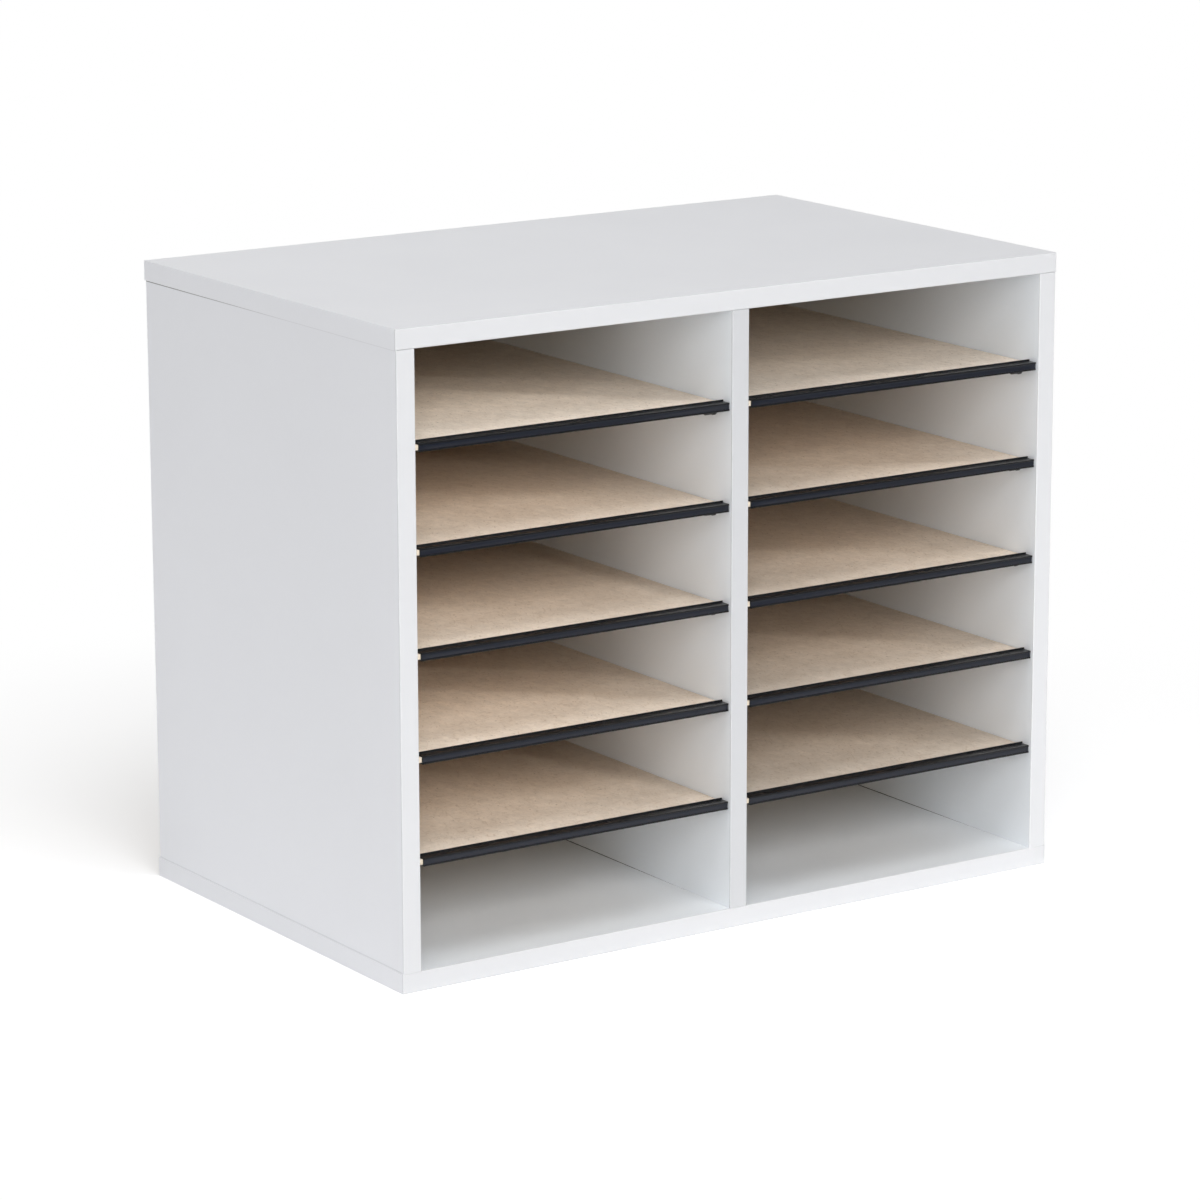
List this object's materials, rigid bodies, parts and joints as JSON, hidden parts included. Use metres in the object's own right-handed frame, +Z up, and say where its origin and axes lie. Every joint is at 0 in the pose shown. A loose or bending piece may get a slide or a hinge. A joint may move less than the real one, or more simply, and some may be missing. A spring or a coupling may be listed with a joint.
{
  "type": "literature organizer",
  "caption": "White board cabinet, open in front, with columns of thin fibreboard shelves that rest on pins and slide out; each shelf edge carries a black label holder.",
  "frame": {"origin": "middle of the base, on the surface it stands on", "axes": "+X to the right as seen from the open front, +Y to the back, +Z up"},
  "size_m": [0.4952, 0.3048, 0.4064],
  "materials": {
    "white_laminate": "white melamine laminate on particle board, satin",
    "white_edge_band": "white edge band, satin",
    "back_fibreboard": "raw pressed fibreboard",
    "shelf_fibreboard": "smooth pressed fibreboard with fine fibres",
    "black_moulding": "extruded, satin",
    "dark_label": "blank dark card",
    "black_pin": "moulded",
    "dowel_wood": "raw beech",
    "plated_steel": "zinc plated"
  },
  "bodies": {
    "cabinet": {"top_panel": "white_laminate", "bottom_panel": "white_laminate", "left_side_panel": "white_laminate", "right_side_panel": "white_laminate", "centre_divider": "white_laminate", "back_panel": "back_fibreboard", "top_front_band": "white_edge_band", "bottom_front_band": "white_edge_band", "left_front_band": "white_edge_band", "right_front_band": "white_edge_band", "divider_front_band": "white_edge_band", "top_left_end_band": "white_edge_band", "top_right_end_band": "white_edge_band", "bottom_left_end_band": "white_edge_band", "bottom_right_end_band": "white_edge_band", "top_dowels": "dowel_wood", "bottom_dowels": "dowel_wood", "bottom_screws": "plated_steel", "back_nails": "plated_steel", "left_shelf_pins_1": "black_pin", "left_shelf_pins_2": "black_pin", "left_shelf_pins_3": "black_pin", "left_shelf_pins_4": "black_pin", "left_shelf_pins_5": "black_pin", "right_shelf_pins_1": "black_pin", "right_shelf_pins_2": "black_pin", "right_shelf_pins_3": "black_pin", "right_shelf_pins_4": "black_pin", "right_shelf_pins_5": "black_pin"},
    "left_shelf_1": {"left_shelf_1": "shelf_fibreboard", "left_label_holder_1": "black_moulding", "left_label_strip_1": "dark_label"},
    "left_shelf_2": {"left_shelf_2": "shelf_fibreboard", "left_label_holder_2": "black_moulding", "left_label_strip_2": "dark_label"},
    "left_shelf_3": {"left_shelf_3": "shelf_fibreboard", "left_label_holder_3": "black_moulding", "left_label_strip_3": "dark_label"},
    "left_shelf_4": {"left_shelf_4": "shelf_fibreboard", "left_label_holder_4": "black_moulding", "left_label_strip_4": "dark_label"},
    "left_shelf_5": {"left_shelf_5": "shelf_fibreboard", "left_label_holder_5": "black_moulding", "left_label_strip_5": "dark_label"},
    "right_shelf_1": {"right_shelf_1": "shelf_fibreboard", "right_label_holder_1": "black_moulding", "right_label_strip_1": "dark_label"},
    "right_shelf_2": {"right_shelf_2": "shelf_fibreboard", "right_label_holder_2": "black_moulding", "right_label_strip_2": "dark_label"},
    "right_shelf_3": {"right_shelf_3": "shelf_fibreboard", "right_label_holder_3": "black_moulding", "right_label_strip_3": "dark_label"},
    "right_shelf_4": {"right_shelf_4": "shelf_fibreboard", "right_label_holder_4": "black_moulding", "right_label_strip_4": "dark_label"},
    "right_shelf_5": {"right_shelf_5": "shelf_fibreboard", "right_label_holder_5": "black_moulding", "right_label_strip_5": "dark_label"}
  },
  "joints": [
    {"name": "left_shelf_1_slide", "type": "slide", "parent": "cabinet", "child": "left_shelf_1", "axis": [0, -1, 0], "range_m": [0, 0.3]},
    {"name": "left_shelf_2_slide", "type": "slide", "parent": "cabinet", "child": "left_shelf_2", "axis": [0, -1, 0], "range_m": [0, 0.3]},
    {"name": "left_shelf_3_slide", "type": "slide", "parent": "cabinet", "child": "left_shelf_3", "axis": [0, -1, 0], "range_m": [0, 0.3]},
    {"name": "left_shelf_4_slide", "type": "slide", "parent": "cabinet", "child": "left_shelf_4", "axis": [0, -1, 0], "range_m": [0, 0.3]},
    {"name": "left_shelf_5_slide", "type": "slide", "parent": "cabinet", "child": "left_shelf_5", "axis": [0, -1, 0], "range_m": [0, 0.3]},
    {"name": "right_shelf_1_slide", "type": "slide", "parent": "cabinet", "child": "right_shelf_1", "axis": [0, -1, 0], "range_m": [0, 0.3]},
    {"name": "right_shelf_2_slide", "type": "slide", "parent": "cabinet", "child": "right_shelf_2", "axis": [0, -1, 0], "range_m": [0, 0.3]},
    {"name": "right_shelf_3_slide", "type": "slide", "parent": "cabinet", "child": "right_shelf_3", "axis": [0, -1, 0], "range_m": [0, 0.3]},
    {"name": "right_shelf_4_slide", "type": "slide", "parent": "cabinet", "child": "right_shelf_4", "axis": [0, -1, 0], "range_m": [0, 0.3]},
    {"name": "right_shelf_5_slide", "type": "slide", "parent": "cabinet", "child": "right_shelf_5", "axis": [0, -1, 0], "range_m": [0, 0.3]}
  ]
}
